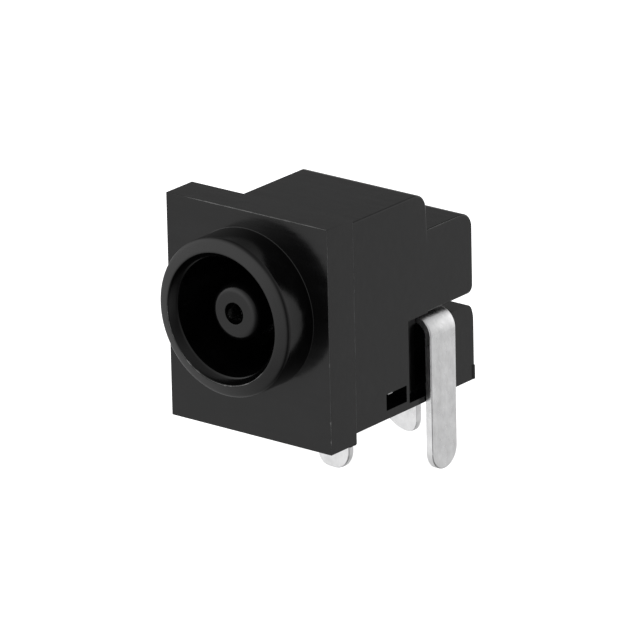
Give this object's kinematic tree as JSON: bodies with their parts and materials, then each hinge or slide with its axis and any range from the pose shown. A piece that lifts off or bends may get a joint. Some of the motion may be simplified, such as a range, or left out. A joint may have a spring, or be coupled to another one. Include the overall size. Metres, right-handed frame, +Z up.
{
  "type": "dc barrel jack",
  "caption": "Board-mount DC power jack, side entry: square-flanged black housing with a round collar and centre post, flat tinned solder tails below.",
  "frame": {"origin": "on the board plane, under the barrel axis, in line with the rear face of the flange", "axes": "+Z up from the board, -Y out of the mouth towards the plug, +X towards the side that carries the side tail"},
  "size_m": [0.0103, 0.0143, 0.0147],
  "materials": {
    "black_plastic": "moulded black thermoplastic, satin",
    "tinned_metal": "bright tin plate over a copper alloy"
  },
  "bodies": {
    "root": {"housing": "black_plastic", "centre_socket": "tinned_metal", "centre_terminal": "tinned_metal", "sleeve_contact": "tinned_metal", "switch_contact": "tinned_metal"}
  },
  "joints": []
}
